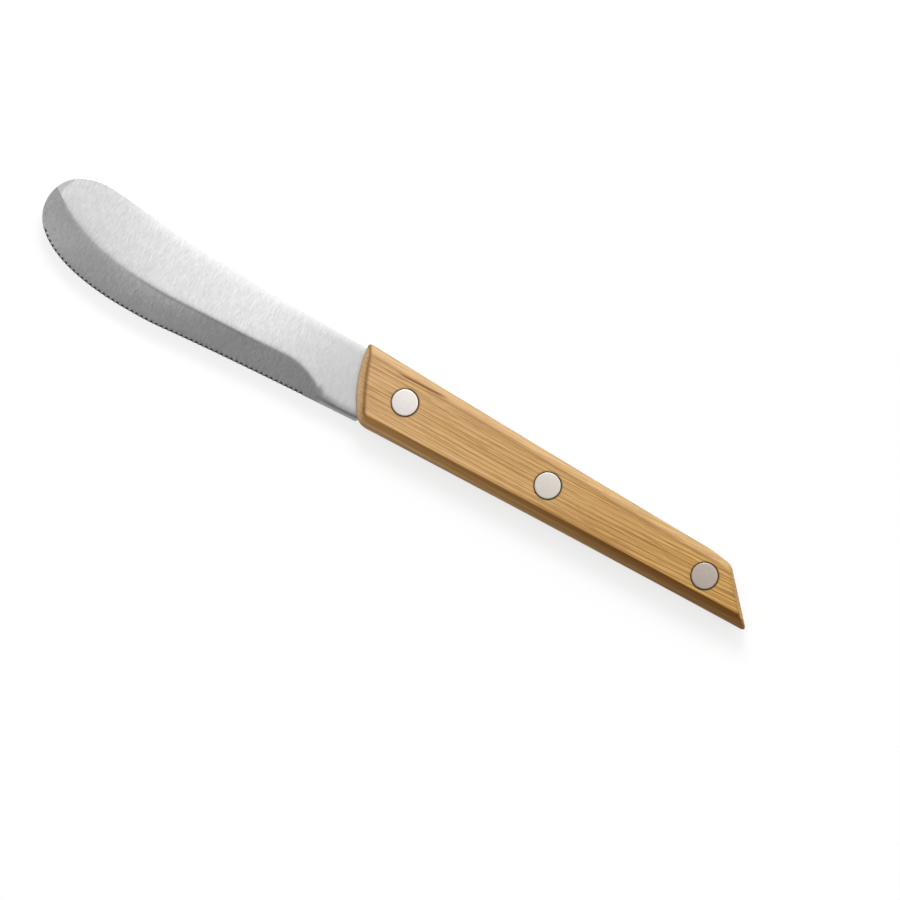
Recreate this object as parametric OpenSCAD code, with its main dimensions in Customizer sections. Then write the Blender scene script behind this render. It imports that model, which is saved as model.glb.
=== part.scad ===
// A butter knife with a rounded, finely toothed blade and a riveted bamboo handle.
// It lies flat on its side: tip towards -X, back of the blade towards +Y, +Z up.
// Lengths along the knife are measured from the handle's front, where it crosses
// the knife's axis, and heights from that axis. Millimetres.

/* [Blade] */
// Length from the handle's front to the tip
blade_len = 92.2; // [75:0.1:120]
// Thickness of the steel
blade_t = 2.2; // [1.6:0.1:3.2]
// Height of the foremost point of the tip
tip_rise = 1.3; // [0:0.1:3]
// Distance from the tip back to the highest point of the nose
crest_setback = 12; // [10:0.1:18]
// Height of the highest point of the nose
crest_h = 11.8; // [10.5:0.1:14]
// Height of the back of the blade at the handle
spine_h = 8.65; // [7.5:0.05:9.2]
// Distance from the tip back to the deepest point of the belly
belly_setback = 31.3; // [24:0.1:42]
// Depth of the deepest point of the belly
belly_h = 13.4; // [11.5:0.1:16]
// Depth of the edge at the handle
heel_h = 9.3; // [8:0.1:9.5]
// Angle between the edge and the axis at the handle
heel_angle = 3.2; // [1:0.1:5]

/* [Ground edge] */
// Thickness left at the cutting edge
edge_t = 0.4; // [0.2:0.05:0.8]
// Width of the ground bevel at the belly
grind_w = 8.7; // [6:0.1:10]
// Width of the ground bevel ahead of the handle
grind_heel_w = 7.6; // [5:0.1:9]
// Length round the tip over which the bevel grows to its full width
grind_rise_run = 19; // [14:0.5:26]
// Length of the nose above the tip that is ground as well
grind_nose_run = 4.1; // [2:0.1:7]
// Distance of the bevel's curved end ahead of the handle
plunge_setback = 20; // [18:0.1:28]
// Radius of the bevel's curved end
plunge_r = 18.5; // [15:0.1:24]
// Width of the eased lower corner between the bevel and the handle
eased_w = 1; // [0.6:0.05:1.4]

/* [Teeth] */
// Distance from one tooth to the next
tooth_pitch = 1.41; // [1.1:0.01:2.5]
// Depth of the notch between two teeth
tooth_depth = 0.3; // [0.15:0.01:0.45]
// Distance of the first tooth below the tip, along the edge
teeth_lead = 8; // [6:0.1:14]
// Distance of the last tooth ahead of the handle
teeth_setback = 11; // [9:0.1:17]

/* [Handle] */
// Length from the front to the sharp point of the butt
handle_len = 117.3; // [100:0.1:140]
// Thickness of one scale
scale_t = 5; // [4:0.1:7]
// Height of the scale's top corner at the front
front_up = 9.85; // [9.4:0.05:12]
// Depth of the scale's bottom corner at the front
front_down = 9.65; // [9.6:0.05:12]
// How far the top corner stands ahead of the front
front_lead = 2.6; // [1:0.1:4]
// How much farther back the bottom corner is than the top one
front_lean = 7.8; // [5:0.1:10]
// Bulge of the front edge over the straight line between its corners
front_bulge = 1.6; // [0.5:0.05:2]
// Height of the top edge where the butt begins
rear_up = 7.2; // [6.8:0.05:9]
// Depth of the bottom edge at the butt
rear_down = 6.65; // [6.4:0.05:9]
// Length of the short slope on top of the butt
shoulder_run = 6.1; // [4:0.1:8]
// Drop of the short slope
shoulder_drop = 0.9; // [0.6:0.05:1.5]
// Length along the knife of the slanted butt
butt_slant = 11.7; // [9:0.1:13]
// How far the long edges draw in between their ends
waist = 0.2; // [0.05:0.05:0.5]

/* [Eased corners of the handle, as far as each reaches along its edges] */
// Front top corner
front_top_ease = 1; // [0.3:0.1:2]
// Front bottom corner
front_bottom_ease = 2.4; // [0.5:0.1:3]
// Point of the butt
point_ease = 1.9; // [0.6:0.1:2.4]
// Corner between the slanted butt and the short slope
butt_top_ease = 1.2; // [0.5:0.1:1.8]
// Corner between the short slope and the top edge
shoulder_ease = 1.5; // [0.5:0.1:1.8]

/* [Bevels of the scales] */
// Height of a bevel
bevel_h = 2.4; // [1.5:0.1:3.5]
// Width of the bevel along the top edge
top_bevel_w = 2.2; // [1.2:0.05:3]
// Width of the bevel along the bottom edge
bottom_bevel_w = 3; // [1.5:0.05:3.2]
// Width of the bevel along the butt's short slope
shoulder_bevel_w = 1.9; // [1:0.05:2.4]
// Width of the bevel along the slanted butt
butt_bevel_w = 0.95; // [0.5:0.05:1.5]
// Width of the front bevel at the top, over the straight line
front_bevel_top_w = 0.2; // [0.1:0.05:1]
// Width of the front bevel at the bottom, over the straight line
front_bevel_bottom_w = 1; // [0.4:0.05:1.5]
// Bulge of the bevel's inner line at the front
face_bulge = 0.4; // [0.1:0.05:1]

/* [Rivets] */
// Distance of the front rivet behind the handle's front
front_rivet_x = 12.8; // [10:0.1:20]
// Distance of the rear rivet ahead of the butt's point
rear_rivet_inset = 16.4; // [16:0.1:26]
// Place of the middle rivet between the front one and the rear one
middle_rivet_share = 0.477; // [0.35:0.001:0.65]
// Height of the front rivet
front_rivet_rise = 1.1; // [-1:0.1:2]
// Height of the middle rivet
middle_rivet_rise = 0.7; // [-1:0.1:2]
// Height of the rear rivet
rear_rivet_rise = 0.5; // [-1:0.1:1]
// Diameter of a rivet's head
head_d = 6.8; // [5.6:0.1:7.4]
// Thickness of a rivet's head
head_t = 1.4; // [1:0.1:1.8]
// Chamfer round a head's outer face
head_chamfer = 0.15; // [0.05:0.05:0.3]
// Gap round a head in its counterbore
head_clearance = 0.2; // [0.05:0.05:0.3]
// Outer diameter of the rivet's hollow half
sleeve_d = 4; // [3.4:0.1:4.6]
// Gap round the hollow half in its hole
sleeve_clearance = 0.1; // [0.05:0.05:0.2]
// Diameter of the rivet's solid half
post_d = 2.8; // [2:0.1:3]
// Gap between the hollow half's end and the other head
sleeve_end_gap = 0.5; // [0.3:0.1:1.2]
// Gap between the solid half's end and the bottom of the hollow half
post_end_gap = 0.8; // [0.4:0.1:1.5]

/* [Hidden] */
$fn = 72;
// Overrun of a cut past the solid that it cuts
overrun = 0.5;

// Pull of each curve of the blade's outline at its two ends, as shares of the
// distance between the ends along the knife or, at the tip, across it
nose_crest_share = 0.68;
nose_tip_share = 0.49;
spine_crest_share = 0.13;
spine_handle_share = 0.79;
chin_tip_share = 0.68;
chin_belly_share = 0.57;
edge_belly_share = 0.23;
edge_heel_share = 0.98;
// Number of steps along each of these curves
curve_steps = 48;

// Distance of the blade's heel behind the handle's front, under the scales
heel_run = 4;
// Length from the grind's start to where it begins to narrow, and over which it narrows
grind_full_run = 35;
grind_narrow_run = 40;
// Rise of the ground face over its width, close to its upper line
shoulder_slope = 0.45;
// Least depth of the ground face, as a share of half the steel's thickness
least_drop_share = 0.4;
// Width of the strip along the edge that holds the notches
tooth_strip_w = 0.6;
// Shares of a tooth's pitch where its crest ends and where its notch is deepest
tooth_shares = [0, 0.55, 0.78];
// Number of stations round the tip, and between the teeth and the heel
tip_stations = 14;
ricasso_stations = 14;
// Half of the length over which the outline's direction is taken
direction_span = 0.8;
// Distance behind the handle's front at which the tang has risen to the scales' top edge
tang_rise_run = 1.5;
// Distance behind the heel from which the tang follows the scales' eased corner
tang_foot_run = 0.6;
// Number of steps along the handle's front, its long edges and its eased corners
front_steps = 16;
side_steps = 12;
corner_steps = 6;
// Part of the slanted butt that the stations round its point cover from above, as a share
butt_step_share = 0.3;
// Reach of the flat face's eased corners, as a share of the outline's
face_ease_share = 0.4;

function unit(v) = v / norm(v);
function left_of(v) = [-v.y, v.x];
function clamp(x, low, high) = min(high, max(low, x));
function cross2(a, b) = a.x * b.y - a.y * b.x;
// Point where the line through p along u meets the line through q along w
function meet(p, u, q, w) = p + u * cross2(q - p, w) / cross2(u, w);
// Smooth step from 0 to 1
function ease(t) = (1 - cos(180 * clamp(t, 0, 1))) / 2;
// Cubic curve from a to d, pulled towards b and c
function curve(a, b, c, d) = [
    for (i = [0 : curve_steps])
        let (t = i / curve_steps, r = 1 - t)
            r * r * r * a + 3 * r * r * t * b + 3 * r * t * t * c + t * t * t * d
];
// Point at the share t of the way from a to b, bowed to its right by depth
function bow(a, b, depth, t) =
    a + (b - a) * t - left_of(unit(b - a)) * depth * (1 - pow(2 * t - 1, 2));
// Distance of each point of a path from its start
function runs_of(p) = [
    for (i = 0, s = 0; i < len(p); s = s + (i + 1 < len(p) ? norm(p[i + 1] - p[i]) : 0), i = i + 1) s
];
// Point of a path at the distance s from its start
function along(p, runs, s) = [
    lookup(s, [for (i = [0 : len(p) - 1]) [runs[i], p[i].x]]),
    lookup(s, [for (i = [0 : len(p) - 1]) [runs[i], p[i].y]])
];
// List without its first item
function rest_of(list) = [for (i = [1 : len(list) - 1]) list[i]];
function last_of(list) = list[len(list) - 1];
function reversed(list) = [for (i = [len(list) - 1 : -1 : 0]) list[i]];

// Corners of the handle's outline, before they are eased, counter-clockwise
front_top = [-front_lead, front_up];
front_bottom = [front_lean - front_lead, -front_down];
butt_point = [handle_len, -rear_down];
butt_top = [handle_len - butt_slant, rear_up - shoulder_drop];
shoulder = [butt_top.x - shoulder_run, rear_up];
outer_corners = [front_top, front_bottom, butt_point, butt_top, shoulder];
corner_count = len(outer_corners);
eases = [front_top_ease, front_bottom_ease, point_ease, butt_top_ease, shoulder_ease];
side_counts = [front_steps, side_steps, 1, 1, side_steps];

// Points along each side, from one corner to the next, without the eased corners
function handle_sides(corners, bulge, ease_share) = [
    for (i = [0 : corner_count - 1])
        let (
            a = corners[i],
            b = corners[(i + 1) % corner_count],
            from = eases[i] * ease_share / norm(b - a),
            to = 1 - eases[(i + 1) % corner_count] * ease_share / norm(b - a),
            depth = [bulge, -waist, 0, 0, -waist][i]
        )
        [for (k = [0 : side_counts[i]]) bow(a, b, depth, from + (to - from) * k / side_counts[i])]
];
// Points inside each eased corner, a curve pulled towards the corner that follows side i
function handle_arcs(corners, sides) = [
    for (i = [0 : corner_count - 1])
        let (a = last_of(sides[i]), p = corners[(i + 1) % corner_count], b = sides[(i + 1) % corner_count][0])
        [
            for (k = [1 : corner_steps - 1])
                let (t = k / corner_steps, r = 1 - t) r * r * a + 2 * r * t * p + t * t * b
        ]
];
function joined(sides, arcs) = [for (i = [0 : corner_count - 1]) each concat(sides[i], arcs[i])];
outer_sides = handle_sides(outer_corners, front_bulge, 1);
outer_arcs = handle_arcs(outer_corners, outer_sides);
outer_loop = joined(outer_sides, outer_arcs);

// Corners of the scale's flat face, each where two bevels' inner lines meet
ways = [for (i = [0 : corner_count - 1]) unit(outer_corners[(i + 1) % corner_count] - outer_corners[i])];
bevel_widths = [front_bevel_top_w, bottom_bevel_w, butt_bevel_w, shoulder_bevel_w, top_bevel_w];
function inner_line(i, w) = outer_corners[i] + left_of(ways[i]) * w;
function inner_corner(i) =
    let (j = (i + corner_count - 1) % corner_count, w = i == 1 ? front_bevel_bottom_w : bevel_widths[j])
    meet(inner_line(j, w), ways[j], inner_line(i, bevel_widths[i]), ways[i]);
face_corners = [for (i = [0 : corner_count - 1]) inner_corner(i)];
face_sides = handle_sides(face_corners, face_bulge, face_ease_share);
face_loop = joined(face_sides, handle_arcs(face_corners, face_sides));

// Blade outline from the nose's crest round the tip and along the edge to the heel
crest = [crest_setback - blade_len, crest_h];
tip = [-blade_len, tip_rise];
belly = [belly_setback - blade_len, -belly_h];
heel = [heel_run, -heel_h];
spine_end = [-front_lead, spine_h];
edge_way = [cos(heel_angle), sin(heel_angle)];
nose_curve = curve(
    crest,
    crest - [nose_crest_share * crest_setback, 0],
    tip + [0, nose_tip_share * (crest_h - tip_rise)],
    tip
);
chin_curve = curve(
    tip,
    tip - [0, chin_tip_share * (tip_rise + belly_h)],
    belly - [chin_belly_share * belly_setback, 0],
    belly
);
edge_curve = curve(
    belly,
    belly + [edge_belly_share * (heel.x - belly.x), 0],
    heel - edge_way * edge_heel_share * (heel.x - belly.x),
    heel
);
spine_curve = curve(
    crest,
    crest + [spine_crest_share * (spine_end.x - crest.x), 0],
    spine_end - [spine_handle_share * (spine_end.x - crest.x), 0],
    spine_end
);
edge_path = concat(nose_curve, rest_of(chin_curve), rest_of(edge_curve));
edge_runs = runs_of(edge_path);
tip_run = edge_runs[curve_steps];
heel_end_run = last_of(edge_runs);
grind_start = tip_run - grind_nose_run;
// Distance along the edge path at the place x ahead of the handle, below the tip
function run_at(x) = lookup(
    x, [for (i = [curve_steps : len(edge_path) - 1]) [edge_path[i].x, edge_runs[i]]]
);

// Back of the blade from the grind's start over the crest to the handle
nose_runs = runs_of(nose_curve);
back_path = concat(
    [for (i = [curve_steps : -1 : 0]) if (nose_runs[i] < grind_start) nose_curve[i]],
    rest_of(spine_curve)
);
back_runs = runs_of(back_path);
back_len = last_of(back_runs);

// Width of the ground bevel at the distance s along the edge path
plunge_run = run_at(-plunge_setback);
function plunge_drop(p) = p <= 0 ? 0 : plunge_r - sqrt(max(0, pow(plunge_r, 2) - p * p));
function grind_width(s) =
    let (
        g = max(0, s - grind_start),
        rise = sqrt(1 - pow(1 - min(1, g / grind_rise_run), 2)),
        full = grind_w - (grind_w - grind_heel_w) * ease((g - grind_full_run) / grind_narrow_run),
        ground = rise * full - plunge_drop(s - plunge_run)
    )
    s > plunge_run ? max(eased_w, ground) : ground;
// Depth of the ground face at the edge, for a bevel of the width w
half_t = blade_t / 2;
function grind_drop(w) = clamp(shoulder_slope * w, least_drop_share * half_t, half_t - edge_t / 2);

// Distances along the edge path where the blade's stations stand
teeth_start = tip_run + teeth_lead;
teeth_room = run_at(-teeth_setback) - teeth_start;
tooth_count = floor(teeth_room / tooth_pitch);
teeth_end = teeth_start + tooth_count * tooth_pitch;
// Each station is a distance and the depth of the notch there
stations = concat(
    [for (i = [0 : tip_stations - 1]) [grind_start + (teeth_start - grind_start) * i / tip_stations, 0]],
    [
        for (i = [0 : tooth_count - 1], share = tooth_shares)
            [teeth_start + (i + share) * tooth_pitch, share == tooth_shares[2] ? tooth_depth : 0]
    ],
    [for (i = [0 : ricasso_stations]) [teeth_end + (heel_end_run - teeth_end) * i / ricasso_stations, 0]]
);

// One station's outline round the steel: back, grind line, root of the teeth and
// edge on the upper side, then the same on the lower side in reverse
function section(back, line, root, edge, root_z, edge_z) = [
    [back.x, back.y, half_t],
    [line.x, line.y, half_t],
    [root.x, root.y, root_z],
    [edge.x, edge.y, edge_z],
    [edge.x, edge.y, -edge_z],
    [root.x, root.y, -root_z],
    [line.x, line.y, -half_t],
    [back.x, back.y, -half_t]
];
function blade_section(s, notch) =
    let (
        ahead = along(edge_path, edge_runs, s + direction_span),
        behind = along(edge_path, edge_runs, s - direction_span),
        inward = left_of(unit(ahead - behind)),
        bare = along(edge_path, edge_runs, s),
        w = grind_width(s),
        drop = grind_drop(w),
        strip = min(tooth_strip_w, w / 2),
        root_share = w > 0 ? strip / w : 0.5,
        notch_share = w > 0 ? notch / w : 0
    )
    section(
        along(back_path, back_runs, back_len * (s - grind_start) / (heel_end_run - grind_start)),
        bare + inward * w,
        bare + inward * strip,
        bare + inward * notch,
        half_t - drop * (1 - root_share),
        half_t - drop * (1 - notch_share)
    );

// Tang between the scales, flush with their edges and with their butt
tang_back = concat(
    [for (p = reversed(outer_sides[4])) if (p.x > tang_rise_run) p],
    reversed(outer_arcs[3]),
    reversed(outer_sides[3]),
    reversed(outer_arcs[2]),
    [last_of(outer_sides[2])]
);
tang_back_runs = runs_of(tang_back);
foot_arc = [for (p = outer_arcs[0]) if (p.x > heel.x + tang_foot_run) p];
foot_runs = runs_of(outer_sides[1]);
point_arc = concat(outer_arcs[1], [outer_sides[2][0]]);
function tang_section(back, foot) =
    let (drop = grind_drop(0))
    section(back, foot, foot, foot, half_t - drop / 2, half_t - drop);
tang_sections = concat(
    [
        for (i = [0 : len(foot_arc) - 1])
            let (t = (i + 1) / (len(foot_arc) + 1))
            tang_section(spine_end + (tang_back[0] - spine_end) * t, foot_arc[i])
    ],
    [
        for (i = [0 : len(tang_back) - 1])
            let (s = last_of(foot_runs) * tang_back_runs[i] / last_of(tang_back_runs))
            tang_section(tang_back[i], along(outer_sides[1], foot_runs, s))
    ],
    [
        for (i = [0 : len(point_arc) - 1])
            let (t = butt_step_share * (i + 1) / len(point_arc))
            tang_section(last_of(tang_back) + (point_arc[i] - last_of(tang_back)) * t, point_arc[i])
    ]
);

// Closed surface through a list of stations that all have the same number of points
module lofted(sections) {
    count = len(sections[0]);
    last = len(sections) - 1;
    points = [for (ring = sections, p = ring) p];
    sides = [
        for (i = [0 : last - 1], j = [0 : count - 1])
            let (k = (j + 1) % count, a = i * count, b = a + count)
                each [[a + j, a + k, b + k], [a + j, b + k, b + j]]
    ];
    near_cap = [for (j = [count - 1 : -1 : 0]) j];
    far_cap = [for (j = [0 : count - 1]) last * count + j];
    polyhedron(points, concat(sides, [near_cap, far_cap]), convexity = 6);
}

// Places of the rivets, and the knife's place over its origin
front_rivet = [front_rivet_x, front_rivet_rise];
rear_rivet = [handle_len - rear_rivet_inset, rear_rivet_rise];
middle_rivet = [
    front_rivet.x + (rear_rivet.x - front_rivet.x) * middle_rivet_share,
    middle_rivet_rise
];
rivets = [front_rivet, middle_rivet, rear_rivet];
reach = concat(edge_path, spine_curve, outer_loop);
low = [min([for (p = reach) p.x]), min([for (p = reach) p.y])];
high = [max([for (p = reach) p.x]), max([for (p = reach) p.y])];
centre = (low + high) / 2;

// Moves a piece from the knife's middle plane and axis to its place over the origin
module in_place() {
    translate([-centre.x, -centre.y, scale_t + half_t]) children();
}

// Blade and tang, one piece of steel
module blade() {
    color("gainsboro") in_place() difference() {
        lofted(concat(
            [for (station = stations) blade_section(station[0], station[1])],
            tang_sections
        ));
        for (at = rivets)
            translate([at.x, at.y, -half_t - overrun])
                cylinder(h = blade_t + 2 * overrun, d = sleeve_d + 2 * sleeve_clearance);
    }
}

// One bamboo scale, with the side against the tang at the middle plane's side
module handle_scale() {
    rings = [
        [for (p = outer_loop) [p.x, p.y, 0]],
        [for (p = outer_loop) [p.x, p.y, scale_t - bevel_h]],
        [for (p = face_loop) [p.x, p.y, scale_t]]
    ];
    color("burlywood") translate([0, 0, half_t]) difference() {
        lofted(rings);
        for (at = rivets)
            translate([at.x, at.y, 0]) {
                translate([0, 0, -overrun])
                    cylinder(h = scale_t + 2 * overrun, d = sleeve_d + 2 * sleeve_clearance);
                translate([0, 0, scale_t - head_t])
                    cylinder(h = head_t + overrun, d = head_d + 2 * head_clearance);
            }
    }
}
module upper_scale() {
    in_place() handle_scale();
}
module lower_scale() {
    in_place() mirror([0, 0, 1]) handle_scale();
}

// Distance between the two heads' inner faces
grip = blade_t + 2 * (scale_t - head_t);
sleeve_len = grip - sleeve_end_gap;
// Head of a rivet, outer face up, its inner face at z = 0
module rivet_head() {
    cylinder(h = head_t - head_chamfer, d = head_d);
    translate([0, 0, head_t - head_chamfer])
        cylinder(h = head_chamfer, d1 = head_d, d2 = head_d - 2 * head_chamfer);
}
// Hollow half of a rivet, in the upper scale
module rivet_sleeve(at) {
    color("silver") in_place() translate([at.x, at.y, grip / 2]) difference() {
        union() {
            rivet_head();
            translate([0, 0, -sleeve_len]) cylinder(h = sleeve_len, d = sleeve_d);
        }
        translate([0, 0, -sleeve_len - overrun]) cylinder(h = sleeve_len + overrun, d = post_d);
    }
}
// Solid half of a rivet, pressed into the hollow half from the lower scale
module rivet_post(at) {
    color("silver") in_place() translate([at.x, at.y, -grip / 2]) {
        mirror([0, 0, 1]) rivet_head();
        cylinder(h = grip - post_end_gap, d = post_d);
    }
}

blade();
upper_scale();
lower_scale();
rivet_sleeve(front_rivet);  // front_rivet_sleeve
rivet_post(front_rivet);  // front_rivet_post
rivet_sleeve(middle_rivet);  // middle_rivet_sleeve
rivet_post(middle_rivet);  // middle_rivet_post
rivet_sleeve(rear_rivet);  // rear_rivet_sleeve
rivet_post(rear_rivet);  // rear_rivet_post
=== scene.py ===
# %% [markdown]
# # A butter knife with a bamboo handle
#
# The real knife is a steel blade whose tang runs through the handle, two bamboo scales, and
# three rivets, each pressed together from a hollow and a solid half. The CAD model holds all
# nine as plain solids. Here each gets a finer surface of the same size in the same place, and
# a material made of nodes.

import bmesh
import bpy
import numpy as np
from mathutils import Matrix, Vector
from mathutils.geometry import delaunay_2d_cdt


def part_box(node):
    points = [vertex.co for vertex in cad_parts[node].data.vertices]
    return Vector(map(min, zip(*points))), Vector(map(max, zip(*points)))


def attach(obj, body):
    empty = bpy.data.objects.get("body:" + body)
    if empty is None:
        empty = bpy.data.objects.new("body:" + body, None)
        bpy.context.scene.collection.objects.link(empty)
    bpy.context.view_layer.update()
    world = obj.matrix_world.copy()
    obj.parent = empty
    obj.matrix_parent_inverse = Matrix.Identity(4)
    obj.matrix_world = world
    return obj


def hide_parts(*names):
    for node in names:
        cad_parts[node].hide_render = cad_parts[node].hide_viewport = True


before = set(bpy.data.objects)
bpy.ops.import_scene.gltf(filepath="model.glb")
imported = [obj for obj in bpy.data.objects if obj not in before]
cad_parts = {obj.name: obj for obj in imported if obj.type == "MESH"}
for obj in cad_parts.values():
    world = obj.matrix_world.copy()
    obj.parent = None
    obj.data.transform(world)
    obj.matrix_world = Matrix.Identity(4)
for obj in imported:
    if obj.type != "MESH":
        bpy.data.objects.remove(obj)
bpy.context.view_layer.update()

# %% [markdown]
# ## Where the knife lies
#
# The frame is in metres, with the knife's middle over the origin. A maker would rather
# measure in millimetres from the handle's front: lengths along its axis, heights from the
# axis, and thickness from the middle of the steel. The shapes are worked out so, and one
# function brings them over.

# %% From the knife's own measures to the frame
mm = 0.001
blade_len = 92.2
crest_h = 11.8
blade_low, blade_high = (np.array(corner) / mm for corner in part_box("blade"))
scale_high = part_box("upper_scale")[1].z / mm
half_t = (blade_high[2] - blade_low[2]) / 2
axis_origin = np.array([
    blade_low[0] + blade_len,
    blade_high[1] - crest_h,
    (blade_high[2] + blade_low[2]) / 2,
])
scale_t = scale_high - axis_origin[2] - half_t


def in_frame(points):
    """Millimetres from the handle's front brought to the frame: shifted, then made metres."""
    return (np.asarray(points) + axis_origin) * mm


print("half the steel:", round(half_t, 3), "scale:", round(scale_t, 3), "origin:", axis_origin.round(3))

# %% [markdown]
# ## A few tools for curves
#
# Every outline here is a path, an array of points in a row. These helpers draw and measure
# paths, and read points and directions from them at many distances.

# %% Helpers for paths
def unit(vectors):
    """Each vector divided by its own length."""
    return vectors / np.maximum(np.linalg.norm(vectors, axis=-1, keepdims=True), 1e-12)


def left_of(vectors):
    """Flat vectors turned a quarter turn to the left: (x, y) becomes (-y, x)."""
    return np.stack([-vectors[..., 1], vectors[..., 0]], -1)


def pointing(angle):
    """Flat direction at an angle: its cosine and its sine."""
    return np.stack([np.cos(angle), np.sin(angle)], -1)


def column(values):
    """A row of numbers stood up as a column, to multiply rows of points."""
    return np.asarray(values)[:, None]


def raised(flat, z):
    """Flat points given the height z: one number, or one for each point."""
    return np.column_stack([flat, z + np.zeros(len(flat))])


def held(values):
    """Values held between 0 and 1."""
    return np.clip(values, 0, 1)


def ease(t):
    """Smooth step: half of one less the cosine of t half-turns, t held between 0 and 1."""
    return (1 - np.cos(np.pi * held(t))) / 2


def pulled(a, p, b, t):
    """Quadratic curve from a to b pulled to the corner p: weights (1-t)^2, 2t(1-t) and t^2."""
    return (1 - t) ** 2 * a + 2 * t * (1 - t) * p + t * t * b


def cubic(a, b, c, d, steps=300):
    """Cubic curve from a to d pulled to b and c: weights (1-t)^3, 3 (1-t)^2 t, 3 (1-t) t^2 and t^3."""
    t = column(np.linspace(0, 1, steps + 1))
    r = 1 - t
    return r**3 * a + 3 * r * r * t * b + 3 * r * t * t * c + t**3 * d


def runs_of(path):
    """Distance of each point of a path from its start: the running sum of the steps."""
    return np.concatenate([[0.0], np.cumsum(np.linalg.norm(np.diff(path, axis=0), axis=1))])


def along(path, distance):
    """Points of a path at the given distances from its start, read between its points."""
    runs = runs_of(path)
    return np.stack([np.interp(distance, runs, path[:, k]) for k in (0, 1)], -1)


def heading(path, distance, span=0.8):
    """Direction of a path at the given distances: from the point span behind to the one ahead."""
    return unit(along(path, distance + span) - along(path, distance - span))


# %% [markdown]
# ## The blade's outline
#
# Seen from its side, the blade has a broad round nose, a back that sinks towards the handle
# and a belly that runs into a nearly straight edge, as a blanking die cuts it from sheet. A
# few points, and the pull of each curve at its ends, draw it.

# %% The four curves of the outline
nose_len, belly_len = 12.0, 31.3
tip = np.array([-blade_len, 1.3])
crest = np.array([nose_len - blade_len, crest_h])
belly = np.array([belly_len - blade_len, -13.4])
heel = np.array([4.0, -9.3])
handle_front_lead = 2.6
spine_end = np.array([-handle_front_lead, 8.65])
edge_way = pointing(np.radians(3.2))
along_x, along_y = np.eye(2)

nose = cubic(crest, crest - 0.68 * nose_len * along_x, tip + 0.49 * (crest_h - tip[1]) * along_y, tip)
chin = cubic(tip, tip - 0.68 * (tip[1] - belly[1]) * along_y, belly - 0.57 * belly_len * along_x, belly)
edge_run = heel[0] - belly[0]
edge = cubic(belly, belly + 0.23 * edge_run * along_x, heel - edge_way * 0.98 * edge_run, heel)
spine_run = spine_end[0] - crest[0]
spine = cubic(crest, crest + 0.13 * spine_run * along_x, spine_end - 0.79 * spine_run * along_x, spine_end)

edge_path = np.concatenate([nose, chin[1:], edge[1:]])
tip_at, heel_at = runs_of(nose)[-1], runs_of(edge_path)[-1]
grind_from = tip_at - 4.1
back_path = np.concatenate([along(nose, np.linspace(grind_from, 0, 200)), spine[1:]])
back_len = runs_of(back_path)[-1]
print("edge path:", round(heel_at, 2), "mm, back path:", round(back_len, 2), "mm")

# %% [markdown]
# ## The ground bevel
#
# A grinding wheel thins the steel towards the edge. Its cut starts just above the tip, is
# widest at the belly, narrows a little, and ends ahead of the handle in the wheel's own
# round, the plunge, with a rounded corner behind it. The width is a function of the distance
# along the edge. Only round the tip, where that would make the grind line waver, is the line
# a curve of its own.

# %% Width and depth of the bevel along the edge
bevel_full, bevel_heel = 9.15, 7.7
rise_run, narrow_from, narrow_run = 19, 28, 50
plunge_r = 18.5
corner_from_w, corner_to_w = 3.75, 2.8
width_knee, depth_knee = 0.5, 0.3
edge_half_t = 0.2
full_depth = half_t - edge_half_t


def run_at(x):
    """Distance along the edge path at the place x, below the tip."""
    lower = np.concatenate([chin, edge[1:]])
    return tip_at + np.interp(x, lower[:, 0], runs_of(lower))


plunge_from = run_at(-20.0)


def bevel_width(s):
    """Width of the bevel: a quarter ellipse up to the full width, which eases to the narrower one,
    less the sagitta of the plunge's circle. Behind the plunge it is the larger, with a soft knee,
    of that and the corner's width, which narrows in a straight line."""
    g = np.maximum(0, s - grind_from)
    rise = np.sqrt(1 - (1 - np.minimum(1, g / rise_run)) ** 2)
    full = bevel_full - (bevel_full - bevel_heel) * ease((g - narrow_from) / narrow_run)
    p = np.clip(s - plunge_from, 0, plunge_r)
    ground = rise * full - (plunge_r - np.sqrt(plunge_r**2 - p * p))
    left = np.interp(s - plunge_from, [12.5, 18.5], [corner_from_w, corner_to_w])
    larger = (ground + left + np.sqrt((ground - left) ** 2 + width_knee**2)) / 2
    return ground + (larger - ground) * ease((s - plunge_from) / 4)


def corner_share(s):
    """How far the bevel has become the plain rounded corner: 0 before the plunge, 1 behind it."""
    return ease((s - plunge_from - 10.4) / 4)


def bevel_depth(width, s):
    """Depth of the bevel at the edge: it grows with the width and is full from the heel's width on,
    as the smaller of the two, with a knee that is soft near the tip."""
    share = width / bevel_heel
    knee = depth_knee * (1 - ease((s - grind_from - 16) / 18))
    ground = full_depth * np.maximum(0, (share + 1 - np.sqrt((share - 1) ** 2 + knee**2)) / 2)
    return ground + (full_depth - ground) * corner_share(s)


cut_in_run = 36.0
cut_in_way = pointing(np.radians(-41.25))


def moved_in(s):
    """Points of the edge moved inwards, square to it, by the bevel's width."""
    return along(edge_path, s) + left_of(heading(edge_path, s)) * column(bevel_width(s))


def grind_line(s):
    """Points of the grind line: the edge moved inwards, or over the cut-in a cubic curve from the
    outline to that line, whose share grows as the 0.6th power of the run."""
    joint = grind_from + cut_in_run
    before, end, after = moved_in(joint + np.array([-0.5, 0, 0.5]))
    start = along(edge_path, [grind_from])[0]
    curve = cubic(start, start + 8.0 * cut_in_way, end - 9.9 * unit(after - before), end, 400)
    share = held((s - grind_from) / cut_in_run) ** 0.6
    cut_in = np.stack([np.interp(share, np.linspace(0, 1, 401), curve[:, k]) for k in (0, 1)], -1)
    return np.where(column(s < joint), cut_in, moved_in(s))


print("bevel at the belly, handle and corner:", bevel_width(run_at(np.array([-60.0, -25.0, -5.0]))).round(2))

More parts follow.
